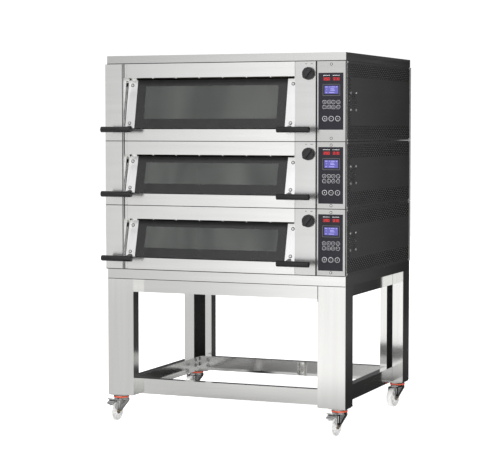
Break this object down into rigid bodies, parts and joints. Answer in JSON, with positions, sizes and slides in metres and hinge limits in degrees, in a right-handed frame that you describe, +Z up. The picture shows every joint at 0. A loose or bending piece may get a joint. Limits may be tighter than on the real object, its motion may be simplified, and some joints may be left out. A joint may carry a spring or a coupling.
{
  "type": "deck oven",
  "caption": "Electric bakery deck oven: stacked stainless decks with leaning glass doors, a digital control panel on the right and an open stand on castors.",
  "frame": {"origin": "on the floor, under the middle of the whole oven", "axes": "+Z up, the doors face -Y, the controls are on the +X side"},
  "size_m": [1.254, 1.124, 1.815],
  "materials": {
    "stainless_front": "fine horizontal brushed stainless steel, satin",
    "stainless_casing": "brushed stainless steel sheet, perforated for air on the right-hand side",
    "stainless_cover": "brushed stainless steel sheet, satin",
    "stand_steel": "bright brushed stainless steel, smooth enough to mirror its neighbours",
    "galvanised_liner": "heat-tinted sheet steel, matt",
    "baking_stone": "pale refractory stone, matt",
    "door_glass": "tempered glass with a dark printed border",
    "black_grip": "black moulded plastic, satin",
    "knob": "dark grey moulded plastic",
    "membrane": null,
    "castor_chrome": "bright zinc and chrome plating",
    "nylon_wheel": "white polyamide, satin"
  },
  "bodies": {
    "oven_body": {"casing_bottom": "stainless_casing", "right_side_panel_bottom": "stainless_casing", "chamber_bottom": "galvanised_liner", "stone_floor_bottom": "baking_stone", "front_surround_bottom": "stainless_front", "right_fascia_bottom": "stainless_front", "control_plate_bottom": "stainless_front", "keypad_bottom": "membrane", "casing_middle": "stainless_casing", "right_side_panel_middle": "stainless_casing", "chamber_middle": "galvanised_liner", "stone_floor_middle": "baking_stone", "front_surround_middle": "stainless_front", "right_fascia_middle": "stainless_front", "control_plate_middle": "stainless_front", "keypad_middle": "membrane", "casing_top": "stainless_casing", "right_side_panel_top": "stainless_casing", "chamber_top": "galvanised_liner", "stone_floor_top": "baking_stone", "front_surround_top": "stainless_front", "right_fascia_top": "stainless_front", "control_plate_top": "stainless_front", "keypad_top": "membrane", "top_cover": "stainless_cover", "stand_top_frame": "stand_steel", "lower_frame": "stand_steel", "leg_front_left": "stand_steel", "castor_housing_front_left": "castor_chrome", "leg_front_right": "stand_steel", "castor_housing_front_right": "castor_chrome", "leg_rear_left": "stand_steel", "castor_housing_rear_left": "castor_chrome", "leg_rear_right": "stand_steel", "castor_housing_rear_right": "castor_chrome"},
    "door_bottom": {"door_frame_bottom": "stainless_front", "door_glass_bottom": "door_glass", "left_handle_bottom": "black_grip", "right_handle_bottom": "black_grip"},
    "damper_bottom": {"damper_knob_bottom": "knob"},
    "door_middle": {"door_frame_middle": "stainless_front", "door_glass_middle": "door_glass", "left_handle_middle": "black_grip", "right_handle_middle": "black_grip"},
    "damper_middle": {"damper_knob_middle": "knob"},
    "door_top": {"door_frame_top": "stainless_front", "door_glass_top": "door_glass", "left_handle_top": "black_grip", "right_handle_top": "black_grip"},
    "damper_top": {"damper_knob_top": "knob"},
    "fork_front_left": {"castor_fork_front_left": "castor_chrome"},
    "wheel_front_left": {"castor_wheel_front_left": "nylon_wheel"},
    "pedal_front_left": {"brake_pedal_front_left": "castor_chrome"},
    "fork_front_right": {"castor_fork_front_right": "castor_chrome"},
    "wheel_front_right": {"castor_wheel_front_right": "nylon_wheel"},
    "pedal_front_right": {"brake_pedal_front_right": "castor_chrome"},
    "fork_rear_left": {"castor_fork_rear_left": "castor_chrome"},
    "wheel_rear_left": {"castor_wheel_rear_left": "nylon_wheel"},
    "fork_rear_right": {"castor_fork_rear_right": "castor_chrome"},
    "wheel_rear_right": {"castor_wheel_rear_right": "nylon_wheel"}
  },
  "joints": [
    {"name": "door_hinge_bottom", "type": "hinge", "parent": "oven_body", "child": "door_bottom", "pos_m": [-0.073, -0.42426, 0.99465], "axis": [-1, 0, 0], "range_deg": [0, 75]},
    {"name": "damper_turn_bottom", "type": "hinge", "parent": "oven_body", "child": "damper_bottom", "pos_m": [0.444, -0.483, 1.023], "axis": [0, -1, 0], "range_deg": [-90, 0]},
    {"name": "door_hinge_middle", "type": "hinge", "parent": "oven_body", "child": "door_middle", "pos_m": [-0.073, -0.42426, 1.31065], "axis": [-1, 0, 0], "range_deg": [0, 75]},
    {"name": "damper_turn_middle", "type": "hinge", "parent": "oven_body", "child": "damper_middle", "pos_m": [0.444, -0.483, 1.339], "axis": [0, -1, 0], "range_deg": [-90, 0]},
    {"name": "door_hinge_top", "type": "hinge", "parent": "oven_body", "child": "door_top", "pos_m": [-0.073, -0.42364, 1.68539], "axis": [-1, 0, 0], "range_deg": [0, 75]},
    {"name": "damper_turn_top", "type": "hinge", "parent": "oven_body", "child": "damper_top", "pos_m": [0.444, -0.483, 1.717], "axis": [0, -1, 0], "range_deg": [-90, 0]},
    {"name": "castor_swivel_front_left", "type": "hinge", "parent": "oven_body", "child": "fork_front_left", "pos_m": [-0.579, -0.416, 0.1], "axis": [0, 0, 1], "continuous": true},
    {"name": "castor_roll_front_left", "type": "hinge", "parent": "fork_front_left", "child": "wheel_front_left", "pos_m": [-0.58877, -0.46197, 0.05], "axis": [0.9781, -0.2079, 0], "continuous": true},
    {"name": "brake_press_front_left", "type": "hinge", "parent": "fork_front_left", "child": "pedal_front_left", "pos_m": [-0.59064, -0.47078, 0.1045], "axis": [0.9781, -0.2079, 0], "range_deg": [0, 8]},
    {"name": "castor_swivel_front_right", "type": "hinge", "parent": "oven_body", "child": "fork_front_right", "pos_m": [0.579, -0.416, 0.1], "axis": [0, 0, 1], "continuous": true},
    {"name": "castor_roll_front_right", "type": "hinge", "parent": "fork_front_right", "child": "wheel_front_right", "pos_m": [0.56923, -0.46197, 0.05], "axis": [0.9781, -0.2079, 0], "continuous": true},
    {"name": "brake_press_front_right", "type": "hinge", "parent": "fork_front_right", "child": "pedal_front_right", "pos_m": [0.56736, -0.47078, 0.1045], "axis": [0.9781, -0.2079, 0], "range_deg": [0, 8]},
    {"name": "castor_swivel_rear_left", "type": "hinge", "parent": "oven_body", "child": "fork_rear_left", "pos_m": [-0.579, 0.505, 0.1], "axis": [0, 0, 1], "continuous": true},
    {"name": "castor_roll_rear_left", "type": "hinge", "parent": "fork_rear_left", "child": "wheel_rear_left", "pos_m": [-0.58877, 0.45903, 0.05], "axis": [0.9781, -0.2079, 0], "continuous": true},
    {"name": "castor_swivel_rear_right", "type": "hinge", "parent": "oven_body", "child": "fork_rear_right", "pos_m": [0.579, 0.505, 0.1], "axis": [0, 0, 1], "continuous": true},
    {"name": "castor_roll_rear_right", "type": "hinge", "parent": "fork_rear_right", "child": "wheel_rear_right", "pos_m": [0.56923, 0.45903, 0.05], "axis": [0.9781, -0.2079, 0], "continuous": true}
  ]
}
